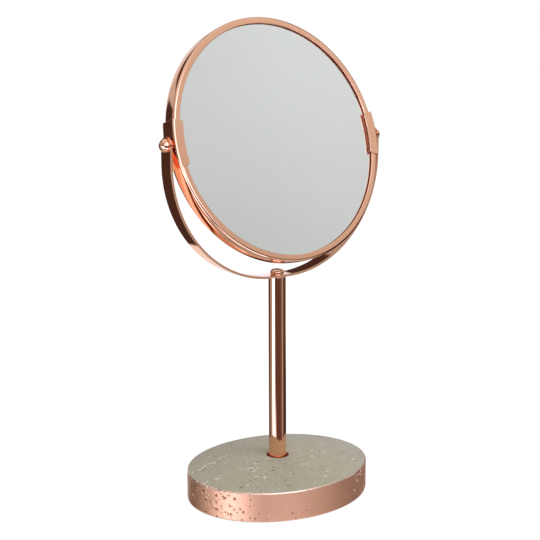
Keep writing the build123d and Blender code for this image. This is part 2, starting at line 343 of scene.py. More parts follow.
for side, middle_angle in (("left", 180), ("right", 0)):
    clip_start = around(middle_angle - clip_half_turn * 180 / pi)
    clip = lathe(f"{side}_pressed_clip", clip_profile, pivot, front, clip_start, turn=2 * clip_half_turn,
                 steps=120)
    file_corners(clip, around(middle_angle))
    thicken(clip, clip_sheet)
    break_edges(clip, width=0.15)
    drill(clip, pivot + around(middle_angle) * clip_outer * mm, sideways, screw_hole)
    fit(clip, f"{side}_clip", "mirror_head")

# %% [markdown]
# ## The yoke strap
# The yoke is one flat strip with round ends, bent to a U. Only its left half is drawn: a half-round chain
# across the strip's end is extruded down and flattened to a straight row, the row is extruded along the
# leg, spun through the bend and extruded along the seat to the middle. A Mirror modifier adds the right
# half. Bending a finished flat strip with a modifier would also work, but the row keeps the bend exactly
# round.

# %% Bend the strap
strap_outer = 93.3
strap_half_width = 5.8
strap_sheet = 1.8
strap_foot = 163.3
yoke_seat_half = 7.0
bend_radius = strap_outer - yoke_seat_half
bend_height = strap_foot + bend_radius
row_height = 261.0
end_steps = 40

strap_end = []
for step in range(end_steps + 1):
    swing = pi * step / end_steps
    aside = -strap_half_width * cos(swing)
    rise = strap_half_width * sin(swing)
    strap_end.append(Vector((-strap_outer, aside, pivot_height + rise)) * mm)
strap = begin_chain("bent_strap", strap_end[0])
draw_chain(strap_end)
bpy.ops.mesh.select_all(action="SELECT")
bpy.ops.mesh.extrude_region_move(TRANSFORM_OT_translate={"value": (0, 0, -1 * mm)})
bpy.ops.transform.resize(value=(1, 1, 0), center_override=(0, 0, row_height * mm))
bpy.ops.mesh.extrude_region_move(TRANSFORM_OT_translate={"value": (0, 0, (bend_height - row_height) * mm)})
bend_middle = Vector((-yoke_seat_half, 0, bend_height)) * mm
bpy.ops.mesh.spin(steps=72, angle=pi / 2, center=bend_middle, axis=(0, 1, 0))
bpy.ops.mesh.extrude_region_move(TRANSFORM_OT_translate={"value": (yoke_seat_half * mm, 0, 0)})
bpy.ops.object.mode_set(mode="OBJECT")
apply_modifier(strap, "MIRROR", use_clip=True, merge_threshold=0.01 * mm)
bpy.ops.object.mode_set(mode="EDIT")
bpy.ops.mesh.select_all(action="SELECT")
bpy.ops.mesh.normals_make_consistent(inside=False)
bpy.ops.object.mode_set(mode="OBJECT")
seat_face = min(strap.data.polygons, key=lambda face: face.center.z)
print("the underside of the seat faces", [round(value, 2) for value in seat_face.normal])

# %% [markdown]
# The sheet is thickened inwards, so its lowest face has to point down first. Then the long edges are
# broken, and the holes for the two pivots and for the screw on the stem are drilled.

# %% Thicken and drill the strap
pivot_hole = 5.16
stem_hole = 5.6
sheet_middle = strap_sheet / 2
if seat_face.normal.z > 0:
    strap.data.flip_normals()
thicken(strap, strap_sheet)
break_edges(strap, width=0.35)
for sign in (-1, 1):
    drill(strap, pivot + sideways * sign * (strap_outer - sheet_middle) * mm, sideways, pivot_hole)
drill(strap, Vector((0, 0, strap_foot + sheet_middle)) * mm, Vector((0, 0, 1)), stem_hole)
fit(strap, "yoke_strap", "stand")

# %% [markdown]
# ## The stem
# The stem is a length of round tube. The lathe turns only its outer wall, and the wall gets its thickness
# inwards, so the bore is there when the tube is looked into. The end edges are broken as a tube cutter
# leaves them.

# %% Cut the stem tube
upright = Vector((0, 0, 1))
ground = Vector((0, 0, 0))
tube_radius = 6.5
tube_foot = 14.8
tube_wall = 1.2
tube_profile = ((tube_radius, tube_foot, 0), (tube_radius, strap_foot, 0))
tube = lathe("stem_pipe", tube_profile, ground, upright, sideways, steps=160)
thicken(tube, tube_wall)
break_edges(tube, width=0.3)
fit(tube, "stem_tube", "stand")

# %% [markdown]
# ## The domed screw and its washer
# A domed screw on a thin washer holds the yoke on the stem. Its head has a nearly straight side and a low
# crown. The crown is an arc of a large circle, so its points are worked out from that circle, and the
# corner between the crown and the side is a bevel.

# %% Turn the domed screw
yoke_seat = strap_foot + strap_sheet
head_seat = yoke_seat + 0.6
head_radius = 5.1
head_shoulder = head_seat + 2.3
head_crown = 1.1
crown_circle = (head_radius**2 + head_crown**2) / (2 * head_crown)
crown_steps = 6
crown_step = 0.68
shank_radius = 2.5
shank_end = 151.6
ring_bore = 2.8
ring_radius = 4.6

screw_profile = []
for step in range(crown_steps):
    reach = crown_step * step
    drop = crown_circle - sqrt(crown_circle**2 - reach**2)
    screw_profile.append((reach, head_shoulder + head_crown - drop, 0))
screw_profile += [
    (head_radius, head_shoulder, 1.4),
    (head_radius, head_seat, 0.2),
    (shank_radius, head_seat, 0),
    (shank_radius, shank_end, 0),
    (0, shank_end, 0),
]
domed_screw = lathe("domed_screw", screw_profile, ground, upright, sideways)
fit(domed_screw, "yoke_screw", "stand")

ring_profile = ring_section(ring_bore, ring_radius, yoke_seat, head_seat, rounding=0.12)
yoke_ring = lathe("yoke_ring", ring_profile, ground, upright, sideways, closed=True)
fit(yoke_ring, "yoke_washer", "stand")

# %% [markdown]
# ## The pivots
# On each side a ball-headed shoulder screw goes through the strap into a nut inside the hoop. A washer
# lies under its head and a sleeve keeps the strap off the clip. All three are turned about the line
# through both pivots. The ball is a cap of a sphere, so its points come from that sphere, from the pole
# to the rim.

# %% Turn the pivots
washer_outer = strap_outer + 0.5
ball_radius = 4.9
ball_height = 4.1
ball_middle = washer_outer + ball_height - ball_radius
ball_rim = acos((washer_outer - ball_middle) / ball_radius)
ball_rows = 24
shoulder_radius = 2.5
shoulder_end = clip_outer + 0.05
thread_radius = 1.5
thread_end = 85.4
pivot_bore = 2.55
washer_radius = 4.5
washer_inner = strap_outer + 0.05
sleeve_radius = 3.5
sleeve_outer = clip_outer + 1.35

pivot_profile = []
for row in range(ball_rows + 1):
    swing = ball_rim * row / ball_rows
    pivot_profile.append((ball_radius * sin(swing), ball_middle + ball_radius * cos(swing), 0))
pivot_profile[-1] = (*pivot_profile[-1][:2], 0.15)
pivot_profile += [
    (shoulder_radius, washer_outer, 0),
    (shoulder_radius, shoulder_end, 0),
    (thread_radius, shoulder_end, 0),
    (thread_radius, thread_end, 0),
    (0, thread_end, 0),
]
washer_profile = ring_section(pivot_bore, washer_radius, washer_inner, washer_outer, rounding=0.1)
sleeve_profile = ring_section(pivot_bore, sleeve_radius, shoulder_end, sleeve_outer, rounding=0.1)
for side, sign in (("left", -1), ("right", 1)):
    line = sideways * sign
    ball = lathe(f"{side}_ball_screw", pivot_profile, pivot, line, upright)
    fit(ball, f"{side}_pivot_screw", "mirror_head")
    ring = lathe(f"{side}_ring", washer_profile, pivot, line, upright, closed=True)
    fit(ring, f"{side}_pivot_washer", "mirror_head")
    sleeve = lathe(f"{side}_sleeve", sleeve_profile, pivot, line, upright, closed=True)
    fit(sleeve, f"{side}_pivot_spacer", "mirror_head")

# %% [markdown]
# ## The curved glass
# The glass at the back is hollow, which makes it magnify. A mirror shows every unevenness of its mesh,
# and the CAD mesh of so shallow a hollow has large facets in its middle. So this glass goes on the lathe
# as well. Both of its faces are arcs of one large circle, which follows from how deep the hollow is.

# %% Turn the curved glass
glass_radius = 87.7
glass_back = 2.6
magnifier_depth = 3.85
magnifier_circle = (glass_radius**2 + magnifier_depth**2) / (2 * magnifier_depth)
glass_rows = 28


def glass_arc(surface):
    """Points of one face of the curved glass, from its middle to its rim."""
    arc = []
    for row in range(glass_rows + 1):
        reach = glass_radius * row / glass_rows
        sag = magnifier_circle - sqrt(magnifier_circle**2 - reach**2)
        arc.append((reach, magnifier_depth - sag - surface, 0))
    return arc


curved_profile = glass_arc(glass_face) + glass_arc(glass_back)[::-1]
curved_glass = lathe("curved_glass", curved_profile, pivot, front, sideways, steps=192)
fit(curved_glass, "rear_glass", "mirror_head")

# %% [markdown]
# ## Calculating with shader nodes
# Finishes are built from nodes, and a formula soon needs dozens of Math nodes. Placing them one by one
# hides the formula. This small class holds one output of a node and lets Python's own operators add the
# Math nodes, so `1 - mask * 0.3` in the script is the same thing in the shader. `vectors` does the same
# for places and directions, and every other kind of node is made by the one method `node`.

# %% A wire that Python can calculate with
class Wire:
    """One output of a node, which Python's operators can calculate with."""

    def __init__(self, tree, socket=None):
        self.tree = tree
        self.socket = socket

    def node(self, kind, settings=None, inputs=None, output=0):
        """Adds a node: its settings first, then each input by name or number, as a value or a wire."""
        added = self.tree.nodes.new(kind)
        for name, value in (settings or {}).items():
            setattr(added, name, value)
        for name, value in (inputs or {}).items():
            if isinstance(value, Wire):
                self.tree.links.new(value.socket, added.inputs[name])
            else:
                added.inputs[name].default_value = value
        return Wire(self.tree, added.outputs[output])

    def out(self, output):
        """Another output of the same node."""
        return Wire(self.tree, self.socket.node.outputs[output])

    def maths(self, operation, *values):
        """Adds a Math node."""
        return self.node("ShaderNodeMath", {"operation": operation}, dict(enumerate(values)))

    def vectors(self, operation, *values):
        """Adds a Vector Math node. Some of its operations give a single number."""
        output = "Value" if operation in ("DOT_PRODUCT", "LENGTH", "DISTANCE") else "Vector"
        return self.node("ShaderNodeVectorMath", {"operation": operation}, dict(enumerate(values)), output)

    def __add__(self, other):
        return self.maths("ADD", self, other)

    def __radd__(self, other):
        return self.maths("ADD", other, self)

    def __sub__(self, other):
        return self.maths("SUBTRACT", self, other)

    def __rsub__(self, other):
        return self.maths("SUBTRACT", other, self)

    def __mul__(self, other):
        return self.maths("MULTIPLY", self, other)

    def __rmul__(self, other):
        return self.maths("MULTIPLY", other, self)

    def __abs__(self):
        return self.maths("ABSOLUTE", self)

    def greater(self, other):
        """The larger of two values."""
        return self.maths("MAXIMUM", self, other)

    def lesser(self, other):
        """The smaller of two values."""
        return self.maths("MINIMUM", self, other)

    def rise(self, low, high):
        """A smooth step from 0 at low to 1 at high."""
        settings = {"interpolation_type": "SMOOTHSTEP"}
        return self.node("ShaderNodeMapRange", settings, {"Value": self, "From Min": low, "From Max": high})

    def fall(self, low, high):
        """A smooth step from 1 at low to 0 at high."""
        return 1 - self.rise(low, high)


print("shader maths is ready")

# %% [markdown]
# ## Starting a finish
# Every finish starts alike: a new material with one Principled shader, and the Object coordinates of the
# piece. The pieces sit at the origin, so these coordinates are metres in the object's own frame, and a
# pattern on them stays put when the piece moves. Generated coordinates would stretch with each piece's
# box instead.

# %% Helpers for finishes
def start_finish(name):
    """A new material: returns it, its Principled node, and its place on the object as a wire."""
    material = bpy.data.materials.new(name)
    material.use_nodes = True
    tree = material.node_tree
    shader = tree.nodes["Principled BSDF"]
    place = Wire(tree).node("ShaderNodeTexCoord", output="Object")
    return material, shader, place


def connect(shader, socket_name, wire):
    """Leads a wire into one socket of a shader."""
    wire.tree.links.new(wire.socket, shader.inputs[socket_name])


def cloud(place, scale, detail=3.0, roughness=0.5, distortion=0.0):
    """Soft cloudy noise between 0 and 1, with about this many clouds to the metre."""
    inputs = dict(Vector=place, Scale=scale, Detail=detail, Roughness=roughness, Distortion=distortion)
    return place.node("ShaderNodeTexNoise", {"noise_dimensions": "3D"}, inputs)


def tint(mask, first, second):
    """A colour between two others: the first where the mask is 0, the second where it is 1."""
    start, end = (colour if isinstance(colour, Wire) else (*colour, 1.0) for colour in (first, second))
    return mask.node("ShaderNodeMix", {"data_type": "RGBA"}, {0: mask, 6: start, 7: end}, output=2)


def relief(height, depth, strength=1.0):
    """A surface normal from a height between 0 and 1 that stands for this depth in metres."""
    return height.node("ShaderNodeBump", None, {"Height": height, "Distance": depth, "Strength": strength})


print("helpers for finishes are ready")

# %% [markdown]
# ## Polished copper plate
# The tube, strap, hoop and screws are steel, plated with copper and buffed. A buffed metal is nearly a
# mirror, so almost all of its look is what it reflects. Its own part is small: a warm reflecting colour,
# a little cloudy haze left by the buffing wheel, and hair-fine polishing marks. A metal with one
# roughness all over looks like a computer's metal, so the haze moves the roughness slightly. In the groove
# of the hoop and under the lips of the clips the plate is rougher, and it gets painted shade there: a
# darker colour and less metal stand for the shade deep in these hollows. How deep a place lies is
# measured along the mirror's own axis, and how far out it lies is what is left of its distance from the
# middle.

# %% Polished copper
copper_light = (0.985, 0.55, 0.368)
copper_deep = (0.965, 0.52, 0.338)
# Painted shade: these deep colours stand for the shade in the groove of the hoop and under the lips of the
# clips.
groove_shade_colour = (0.46, 0.12, 0.06)
clip_hollow_shade_colour = (0.95, 0.45, 0.33)


def hollow(place, reach, depth):
    """1 inside the hollow of a channel round the mirror, nearer to its axis and its middle than these."""
    offset = place.vectors("SUBTRACT", place, tuple(pivot))
    deep = place.vectors("DOT_PRODUCT", offset, tuple(front))
    far = place.vectors("LENGTH", offset)
    out = place.maths("SQRT", far * far - deep * deep)
    edge = 0.03 * mm
    not_deep = abs(deep).fall(depth * mm - edge, depth * mm + edge)
    return not_deep * out.fall(reach * mm - edge, reach * mm + edge)


def copper_finish(name, smooth, haze, grain_depth, hollow_size=None, hollow_shade_colour=None, hollow_shade_metal_loss=0.0):
    """Copper plate with a smoothest roughness, a haze that is added to it in clouds, and a grain."""
    material, shader, place = start_finish(name)
    tone = cloud(place, 55.0, 4.0)
    wipe = cloud(place, 130.0, 5.0, 0.6, 0.8)
    grain = cloud(place, 2600.0, 2.0)
    colour = tint(tone.rise(0.35, 0.7), copper_light, copper_deep)
    roughness = smooth + haze * wipe.rise(0.4, 0.75)
    if hollow_size:
        # Painted shade: in the hollow a darker colour and less metal stand for the shade there, and the
        # roughness rises.
        shaded_hollow = hollow(place, *hollow_size)
        colour = tint(shaded_hollow, colour, hollow_shade_colour)
        roughness = roughness + shaded_hollow * 0.2
        connect(shader, "Metallic", 1 - shaded_hollow * hollow_shade_metal_loss)
    else:
        shader.inputs["Metallic"].default_value = 1.0
    connect(shader, "Base Color", colour)
    connect(shader, "Roughness", roughness)
    connect(shader, "Normal", relief(grain, grain_depth))
    return material


groove_size = (opening_radius + groove + 0.4, half_depth - lip_sheet + 0.06)
clip_hollow_size = (frame_radius - 0.2, clip_half_depth - 0.9)
polished_copper = copper_finish("polished_copper", 0.035, 0.05, 0.0015 * mm)
hoop_copper = copper_finish("hoop_copper", 0.035, 0.05, 0.0015 * mm,
                            groove_size, groove_shade_colour, hollow_shade_metal_loss=0.75)
satin_copper = copper_finish("satin_copper", 0.08, 0.08, 0.006 * mm,
                             clip_hollow_size, clip_hollow_shade_colour, hollow_shade_metal_loss=0.35)
print("copper finishes:", polished_copper.name, hoop_copper.name, satin_copper.name)

# %% [markdown]
# ## Silvered glass
# A mirror is a sheet of clear glass with silver on its back. From the front only the silver is seen,
# slightly cooled by the glass, so the finish is a metal with almost no roughness. Very faint wiping marks
# keep it from being perfectly blank.

# %% Silvered glass
silvered_glass, glass_shader, glass_place = start_finish("silvered_glass")
smear = cloud(glass_place, 22.0, 5.0, 0.65, 1.5)
connect(glass_shader, "Base Color", tint(smear.rise(0.3, 0.8), (0.90, 0.928, 0.905), (0.88, 0.908, 0.885)))
connect(glass_shader, "Roughness", 0.004 + 0.012 * smear.rise(0.55, 0.85))
glass_shader.inputs["Metallic"].default_value = 1.0
print("mirror finish:", silvered_glass.name)

# %% [markdown]
# ## Cast concrete with a coppered side
# The slab is one casting of grey concrete. Air bubbles left small pits in it, lime drew pale hairlines
# over the top, and the side was painted with copper, which also coats the pits there. The wall of the
# socket for the stem gets the same copper skin. One material does both skins, because they share their
# pits: a mask by place says where the paint is, and it chooses between the two colours, the two
# roughnesses, and metal or not.

# %% Where the paint lies on the slab
slab_low, slab_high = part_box("base_slab")
slab_half_length = (slab_high[0] - slab_low[0]) / 2
slab_half_width = (slab_high[1] - slab_low[1]) / 2
rim_height = 21.8 * mm
socket_reach = 8.8 * mm

slab_skin, slab_shader, slab_place = start_finish("slab_skin")
slab_parts = slab_place.node("ShaderNodeSeparateXYZ", None, {"Vector": slab_place})
slab_x, slab_y, slab_z = (slab_parts.out(axis) for axis in "XYZ")
along = slab_x * (1 / slab_half_length)
across = slab_y * (1 / slab_half_width)
oval = slab_place.maths("SQRT", along * along + across * across)
from_stem = slab_place.maths("SQRT", slab_x * slab_x + slab_y * slab_y)
ragged = cloud(slab_place, 420.0, 3.0) - 0.5
on_side = (oval + ragged * 0.004).rise(0.9865, 0.9905) * slab_z.rise(0.6 * mm, 1.0 * mm)
in_socket = from_stem.fall(socket_reach - 0.2 * mm, socket_reach)
painted = on_side.greater(in_socket)
print("slab is", round(2000 * slab_half_length, 1), "by", round(2000 * slab_half_width, 1), "mm")

# %% [markdown]
# ### Pits
# A Voronoi texture scatters points at random and measures the distance to the nearest one, so a small
# distance is a round spot. Each point also has a random colour of its own, which here decides how large
# its pit is, and leaves most points with none. The place is shaken a little first, so that no pit is a
# perfect circle. Bubbles gather where the mould was filled, so on the side there are more of them towards
# the left end and low down. The same texture, taken at another place, gives tiny pale specks all over the
# top, and towards both ends of the side tiny pale spots that are painted glints.

# %% Pits and their rims
def shaken(place, scale, reach):
    """The place, moved aside at random."""
    jitter = cloud(place, scale, 3.0).out("Color")
    centred = place.vectors("SUBTRACT", jitter, (0.5, 0.5, 0.5))
    return place.vectors("MULTIPLY_ADD", centred, (reach, reach, reach), place)


def pits(place, scale, share, size, density):
    """How far inside a pit each place is, below 0 outside, and how large that pit is."""
    moved = shaken(place, scale * 2.5, 0.9 / scale)
    nearest = place.node("ShaderNodeTexVoronoi", {"feature": "F1"}, {"Vector": moved, "Scale": scale})
    chance = place.node("ShaderNodeSeparateColor", None, {"Color": nearest.out("Color")})
    radius = chance.rise(1 - share, 1.0) * size * density
    return radius - nearest, radius


def sunk(inside):
    """How deep each place lies in a pit, 0 to 1."""
    return inside.rise(0.0, 0.08)


def brim(inside, radius):
    """How near each place is to the rim of a pit, 0 to 1."""
    return inside.rise(-0.10, -0.02) * radius.rise(0.03, 0.08)


low_left = slab_z.fall(6 * mm, 13 * mm) * along.fall(-0.3, 0.1)
gathered = (0.5 + 0.75 * along.fall(-0.98, -0.5)).greater(low_left)
density = 0.75 + on_side * (gathered - 0.75)
large_inside, large_radius = pits(slab_place, scale=230.0, share=0.60, size=0.28, density=density)
small_inside, small_radius = pits(slab_place, scale=430.0, share=0.65, size=0.36, density=density)
pit = sunk(large_inside).greater(sunk(small_inside))
rim = brim(large_inside, large_radius).greater(brim(small_inside, small_radius)) * (1 - pit)
ends = along.fall(-0.985, -0.82).greater(along.rise(0.1, 0.6)) * on_side
elsewhere = (0.37, 0.61, 0.12)
other_place = slab_place.vectors("ADD", slab_place, elsewhere)
speck_and_glint_density = 0.85 + on_side * (0.9 * ends - 0.6)
speck_and_glint_inside, _ = pits(other_place, scale=520.0, share=0.45, size=0.42, density=speck_and_glint_density)
speck_and_glint = sunk(speck_and_glint_inside)
print("pits are scattered")

# %% [markdown]
# ### Hairlines and flecks
# The pale hairlines and flecks on top are drawn where they are on this casting. A hairline is a few short
# strokes, and a stroke is every place closer than a hair's width to a line between two points. A fleck is
# every place close to one point. Many have a dark spot beside them: a hole left by the crumbling edge,
# sunk in the relief, whose darkness is painted shade.
# Shaking the place first makes the ruler-straight strokes wander and the round spots crumble.

# %% Strokes and spots over the top
def strokes(place, points, width):
    """How near each place is to a chain of points in millimetres, 0 to 1."""
    distances = []
    for first, second in zip(points, points[1:]):
        start = Vector((*first, 0.0)) * mm
        run = Vector((*second, 0.0)) * mm - start
        offset = place.vectors("SUBTRACT", place, tuple(start))
        share = place.vectors("DOT_PRODUCT", offset, tuple(run / run.length_squared))
        share = share.node("ShaderNodeClamp", None, {"Value": share})
        reach = place.node("ShaderNodeVectorMath", {"operation": "SCALE"}, {0: tuple(run), "Scale": share})
        distances.append(place.vectors("DISTANCE", offset, reach))
    return reduce(Wire.lesser, distances).fall(width * 0.4 * mm, width * mm)


def spots(place, points, radius):
    """How near each place is to one of these points in millimetres, 0 to 1."""
    distances = [place.vectors("DISTANCE", place, (x * mm, y * mm, 0.0)) for x, y in points]
    return reduce(Wire.lesser, distances).fall(radius * 0.5 * mm, radius * mm)


crumbled = shaken(shaken(slab_place, 210.0, 3.0 * mm), 900.0, 3.6 * mm)
flat = slab_place.vectors("MULTIPLY", crumbled, (1.0, 1.0, 0.0))
print("strokes and spots are ready")

# %% [markdown]
# The longest hairline runs from the left edge towards the stem, with a thin shadow on its near side. A
# cluster of short ones lies to the left of the stem, and single flecks lie all over.

# %% Draw the hairlines and flecks
hairline_paths = (
    ((-65, 17.5), (-57.5, 17), (-50.5, 21), (-44, 19.5), (-37, 22), (-29, 24.5)),
    ((-69.5, -4.5), (-66, -3)),
    ((-60, -4), (-57, -7.5)),
    ((-33.5, -9), (-29.5, -9)),
    ((15, -2), (19.5, -2.5)),
    ((3, -26), (6.5, -27.5)),
)
pale_flecks = (
    (-37, -5.5), (-24.5, -4.5), (-28, -12.5), (-32.5, -14), (-40.5, -15), (-36.5, -23), (-32.5, -27.5),
    (-48.5, -28.5), (-41.5, -32), (-12, -2.5), (-8, 22), (-8, 37), (26.5, -8), (31.5, -15), (35, -13),
    (19, -18.5), (41, -28.5), (45, -34.5), (32, -42), (12.5, -43), (6, -48), (-13.5, -33), (30, 33),
    (-38, 35),
)
dark_flecks = (
    (-21.5, -3), (-29, -6.5), (-33, -12), (-38.5, -16.5), (-39.5, -26), (-54, -28.5), (-13.5, -9.5),
    (-21, -22.5), (17, -4), (25.5, -10.5), (22.5, -21), (45, -21), (44.5, -36.5), (10, -53), (-13, -35),
    (-23.5, -40), (-26, -46), (60, 24), (42, 10), (20, 18),
)
beside = flat.vectors("ADD", flat, (-0.4 * mm, 1.1 * mm, 0.0))
hairline = strokes(flat, hairline_paths[0], 1.1)
hairline_shadow = strokes(beside, hairline_paths[0], 0.9)
for path in hairline_paths[1:]:
    hairline = hairline.greater(strokes(flat, path, 1.0))
on_top = 1 - painted
worn = cloud(slab_place, 300.0, 3.0).rise(0.34, 0.52)
pale_fleck = hairline.greater(spots(flat, pale_flecks, 1.25)) * worn * on_top
# Painted shade: dark holes beside the flecks and the hairline's shadow; the same mask sinks them in the
# relief.
fleck_hole_and_shade = (hairline_shadow * 0.6).greater(spots(flat, dark_flecks, 1.0)) * on_top * (1 - pale_fleck)
print("hairlines:", len(hairline_paths), "flecks:", len(pale_flecks) + len(dark_flecks))

# %% [markdown]
# ### Mixing the two skins
# The concrete's grey is warm, greener at the front, cooler at the back and the right end, darker at the
# left end with painted shade, and cloudy at three sizes: broad drifts, finger-wide clouds and sand grain.
# The paint is a copper lacquer with fine metal flakes. It is less of a mirror than the plate on the tube:
# mostly metal, but rough, so it spreads the soft boxes into broad glows. It lies smoothest on the rounded
# rim, which catches a bright line, and a paler colour there adds a painted highlight to that line. In both
# skins the pits are darkened with painted shade and their rims lightened with a painted highlight. Each
# skin is a pile of thin layers, and each layer is a mask and a colour.

# %% Colours of the two skins
drift = cloud(slab_place, 16.0, 4.0)
patch = cloud(slab_place, 75.0, 5.0, 0.6, 0.6)
sand = cloud(slab_place, 1500.0, 2.0)
flake = cloud(slab_place, 2100.0, 2.0, 0.7)
on_rim = slab_z.rise(rim_height - 1.1 * mm, rim_height - 0.5 * mm) * on_side

concrete_layers = {
    "cool right end": (along.rise(0.3, 0.9) * 0.7, (0.372, 0.342, 0.300)),
    # Painted shade: the left end of the top is darkened.
    "painted shade at the left end": (along.fall(-0.9, 0.3) * 0.6, (0.315, 0.287, 0.200)),
    "broad drifts": (drift.rise(0.35, 0.7) * 0.25, (0.33, 0.300, 0.225)),
    "finger-wide clouds": (patch.rise(0.45, 0.8) * 0.35, (0.45, 0.42, 0.33)),
    "sand grain": (sand.rise(0.35, 0.75) * 0.20, (0.29, 0.27, 0.20)),
    # Painted highlight: the pale rims stand for the lit edges of the raised lips of the pits.
    "painted highlight on the rims of the pits": (rim * 0.35, (0.60, 0.57, 0.49)),
    # Painted shade: the dark colour stands for the shade inside the holes.
    "pits": (pit * 0.55, (0.14, 0.125, 0.095)),
    "hairlines and chips": ((pale_fleck * 0.75).greater(speck_and_glint * 0.6), (0.66, 0.63, 0.53)),
    # Painted shade: the dark flecks stand for the shade in small holes and along the hairline.
    "dark flecks": (fleck_hole_and_shade * 0.75, (0.10, 0.088, 0.066)),
}
paint_layers = {
    # Painted shade: the dark brown stands for the shade inside the coated holes.
    "pits": (pit * 0.85, (0.24, 0.075, 0.035)),
    # Painted highlight: the paler rims stand for light caught on the lips of the pits.
    "painted highlight on the rims of the pits": (rim * 0.35, (1.0, 0.70, 0.52)),
    # Painted highlight: the pale spots in the paint are painted glints.
    "chips": (speck_and_glint, (1.0, 0.76, 0.56)),
    # Painted highlight: a paler paint on the rounded rim brightens the line of light it catches.
    "painted highlight on the rim of the slab": (on_rim * 0.6, (1.0, 0.82, 0.70)),
}
concrete = tint(across.rise(-0.7, 0.8), (0.375, 0.345, 0.235), (0.360, 0.330, 0.263))
for mask, colour in concrete_layers.values():
    concrete = tint(mask, concrete, colour)
paint = tint(flake.rise(0.3, 0.75), (0.90, 0.48, 0.292), (0.97, 0.53, 0.332))
for mask, colour in paint_layers.values():
    paint = tint(mask, paint, colour)
print("layers of concrete:", len(concrete_layers), "and of paint:", len(paint_layers))

# %% [markdown]
# The mask now chooses between the skins, socket by socket. The pale spots in the paint are painted glints, so
# they are hardly metal.
# The height sinks pits and dark flecks and lifts the rims. On the painted side the pits keep only a trace
# of it, because the steep little walls of a metal pit turn grey.

# %% Lay the skins on the slab
connect(slab_shader, "Base Color", tint(painted, concrete, paint))
connect(slab_shader, "Metallic", painted * (0.86 + 0.1 * on_rim) * (1 - 0.9 * speck_and_glint))
skin_roughness = 0.80 - painted * 0.40 - on_rim * 0.18
connect(slab_shader, "Roughness", skin_roughness + speck_and_glint * on_side * 0.4 + sand * 0.05)
skin_height = rim * 0.25 - pit * (1 - 0.92 * on_side) - fleck_hole_and_shade * 0.7 + sand * 0.05 + patch * 0.10
connect(slab_shader, "Normal", relief(skin_height, 0.45 * mm, 0.9))
print("slab skin has", len(slab_skin.node_tree.nodes), "nodes")

# %% [markdown]
# ## Finishes of the small and hidden pieces
# Washers and plugs inside are zinc-plated steel, the ring in the socket is black plastic, the sheet
# behind the glass is grey card and the pad under the slab is closed-cell foam. Whoever takes the model
# apart sees them, so each gets its grain too. One recipe does for all: two tones of a colour, a roughness,
# a grain, and metal or not.

# %% Plain finishes
def plain_finish(name, light, dark, roughness, grain_scale, grain_depth, metallic=0.0):
    """A finish of two tones with an even grain, its depth in millimetres."""
    material, shader, place = start_finish(name)
    tone = cloud(place, grain_scale / 6, 4.0)
    grain = cloud(place, grain_scale, 3.0)
    connect(shader, "Base Color", tint(tone.rise(0.3, 0.7), light, dark))
    connect(shader, "Roughness", roughness + 0.12 * (grain - 0.5))
    connect(shader, "Normal", relief(grain, grain_depth * mm))
    shader.inputs["Metallic"].default_value = metallic
    return material


zinc_steel = plain_finish("zinc_steel", (0.66, 0.67, 0.69), (0.55, 0.56, 0.57), 0.30, 1800.0, 0.005, 1.0)
black_nylon = plain_finish("black_nylon", (0.030, 0.030, 0.031), (0.020, 0.020, 0.021), 0.55, 1500.0, 0.01)
grey_card = plain_finish("grey_card", (0.44, 0.40, 0.35), (0.36, 0.33, 0.28), 0.85, 1100.0, 0.03)
pad_foam = plain_finish("pad_foam", (0.060, 0.060, 0.060), (0.035, 0.035, 0.036), 0.92, 1300.0, 0.12)
print("plain finishes are mixed")

# %% [markdown]
# ## Dressing the solids
# A CAD solid whose shape is right keeps its mesh and only gets a finish in its material slot, and a
# modelled piece wears what its solid would. The table below is the wardrobe: which finish each named
# piece wears.

# %% Give each piece its finish
wardrobe = {
    "base_slab": slab_skin,
    "base_pad": pad_foam,
    "clamp_washer": zinc_steel,
    "clamp_spring_washer": zinc_steel,
    "clamp_screw": zinc_steel,
    "stem_collar": black_nylon,
    "stem_tube": polished_copper,
    "stem_foot_plug": zinc_steel,
    "stem_head_plug": zinc_steel,
    "yoke_strap": polished_copper,
    "yoke_washer": polished_copper,
    "yoke_screw": polished_copper,
    "frame_hoop": hoop_copper,
    "front_glass": silvered_glass,
    "rear_glass": silvered_glass,
    "backing_card": grey_card,
    "glass_spacer": black_nylon,
}
for side in ("left", "right"):
    wardrobe[f"{side}_clip"] = satin_copper
    wardrobe[f"{side}_pivot_nut"] = zinc_steel
    wardrobe[f"{side}_pivot_screw"] = polished_copper
    wardrobe[f"{side}_pivot_washer"] = polished_copper
    wardrobe[f"{side}_pivot_spacer"] = polished_copper

for name, solid in nodes.items():
    for slot in solid.material_slots:
        slot.material = wardrobe[name]
for name, piece in made.items():
    piece.data.materials.clear()
    piece.data.materials.append(wardrobe[name])
print("dressed", len(nodes), "solids and", len(made), "modelled pieces")

# %% [markdown]
# ## The floor
# The mirror stands on a plain white table. To the camera the table is white paper with only a breath of
# shadow under the slab, so it shines by itself and adds a little light that it receives. Other rays see
# an ordinary white diffuse floor. Polished metal looks past it to the studio, because a bright floor
# mirrored in every downward face would wash the copper out.

# %% Lay the floor
bpy.ops.object.select_all(action="DESELECT")
bpy.ops.mesh.primitive_plane_add(size=8.0, location=(0, 0, 0))
floor = bpy.context.object
floor.name = "white_floor"

